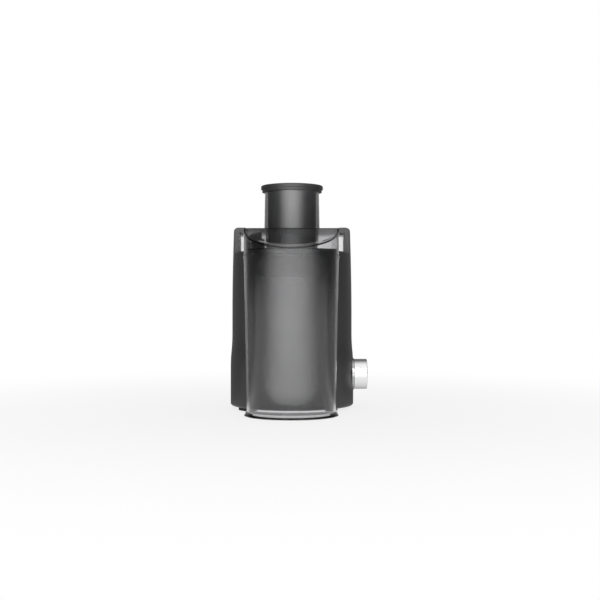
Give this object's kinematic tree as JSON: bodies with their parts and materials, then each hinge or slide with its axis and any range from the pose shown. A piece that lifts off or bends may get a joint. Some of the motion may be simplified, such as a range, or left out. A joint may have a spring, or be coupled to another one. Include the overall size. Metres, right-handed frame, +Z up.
{
  "type": "centrifugal juicer",
  "caption": "Upright centrifugal juicer with a round feed chute and pusher, smoky lid and side pulp bin, two side locking clips, a rotary knob and a spinning filter basket.",
  "frame": {"origin": "on the table, under the centre of the whole outline (bin to spout, knob to back)", "axes": "+Z up, -Y towards the knob at the front, -X towards the pulp bin, +X towards the juice spout"},
  "size_m": [0.3018, 0.2084, 0.3389],
  "materials": {
    "housing_plastic": "satin",
    "base_plastic": "matte",
    "foot_rubber": "matte",
    "screw_steel": "satin",
    "gland_rubber": "matte",
    "board_green": "satin",
    "bezel_metal": "polished",
    "knob_metal": "polished",
    "pointer_paint": "glossy",
    "switch_plastic": "satin",
    "clip_plastic": "satin",
    "bowl_plastic": "satin",
    "seal_rubber": "matte",
    "lid_clear": "glossy",
    "bin_clear": "glossy",
    "pusher_plastic": "satin",
    "cap_plastic": "satin",
    "shaft_steel": "satin",
    "laminated_iron": "satin",
    "copper_wire": "satin",
    "commutator_copper": "polished",
    "fan_plastic": "matte",
    "bracket_metal": "satin",
    "carbon": "matte",
    "basket_steel": "satin",
    "hub_plastic": "satin"
  },
  "bodies": {
    "base": {"motor_housing": "housing_plastic", "base_plate": "base_plastic", "base_screws": "screw_steel", "rubber_feet": "foot_rubber", "cord_gland": "gland_rubber", "power_board": "board_green", "knob_bezel": "bezel_metal", "rotary_switch": "switch_plastic", "clip_pins": "screw_steel", "interlock_switch": "switch_plastic", "juice_bowl": "bowl_plastic", "juice_spout": "bowl_plastic", "lid_seal": "seal_rubber", "lid": "lid_clear", "stator_core": "laminated_iron", "field_windings": "copper_wire", "lower_bracket": "bracket_metal", "upper_bracket": "bracket_metal", "motor_bearings": "screw_steel", "motor_bolts": "screw_steel", "motor_mounts": "gland_rubber", "mount_screws": "screw_steel", "brush_holders": "switch_plastic", "carbon_brushes": "carbon", "shaft_seal": "seal_rubber"},
    "knob": {"control_knob": "knob_metal", "knob_shaft": "shaft_steel", "knob_pointer": "pointer_paint"},
    "clip_back": {"locking_clip_back": "clip_plastic"},
    "clip_front": {"locking_clip_front": "clip_plastic"},
    "plunger": {"interlock_plunger": "switch_plastic"},
    "pusher": {"pusher_body": "pusher_plastic", "pusher_cap": "cap_plastic"},
    "bin": {"pulp_bin": "bin_clear"},
    "spinner": {"motor_shaft": "shaft_steel", "rotor_core": "laminated_iron", "rotor_windings": "copper_wire", "commutator": "commutator_copper", "cooling_fan": "fan_plastic", "drive_coupling": "hub_plastic", "basket_hub": "hub_plastic", "grating_disc": "basket_steel", "filter_basket": "basket_steel", "basket_rim": "hub_plastic"}
  },
  "joints": [
    {"name": "spin", "type": "hinge", "parent": "base", "child": "spinner", "pos_m": [0.024, 0.01035, 0.183], "axis": [0, 0, 1], "continuous": true},
    {"name": "knob_turn", "type": "hinge", "parent": "base", "child": "knob", "pos_m": [0.024, -0.08465, 0.051], "axis": [0, 1, 0], "range_deg": [-45, 90]},
    {"name": "clip_back_swing", "type": "hinge", "parent": "base", "child": "clip_back", "pos_m": [0.024, 0.09585, 0.128], "axis": [-1, 0, 0], "range_deg": [0, 30]},
    {"name": "clip_front_swing", "type": "hinge", "parent": "base", "child": "clip_front", "pos_m": [0.024, -0.07515, 0.128], "axis": [1, 0, 0], "range_deg": [0, 30]},
    {"name": "interlock_press", "type": "slide", "parent": "base", "child": "plunger", "axis": [0, 1, 0], "range_m": [0, 0.0035]},
    {"name": "pusher_lift", "type": "slide", "parent": "base", "child": "pusher", "axis": [0, 0, 1], "range_m": [0, 0.12]},
    {"name": "bin_out", "type": "slide", "parent": "base", "child": "bin", "axis": [-1, 0, 0], "range_m": [0, 0.12]}
  ],
  "couplings": [
    {"joint": "interlock_press", "follows": "clip_back_swing", "m_per_rad": 0.0062}
  ]
}
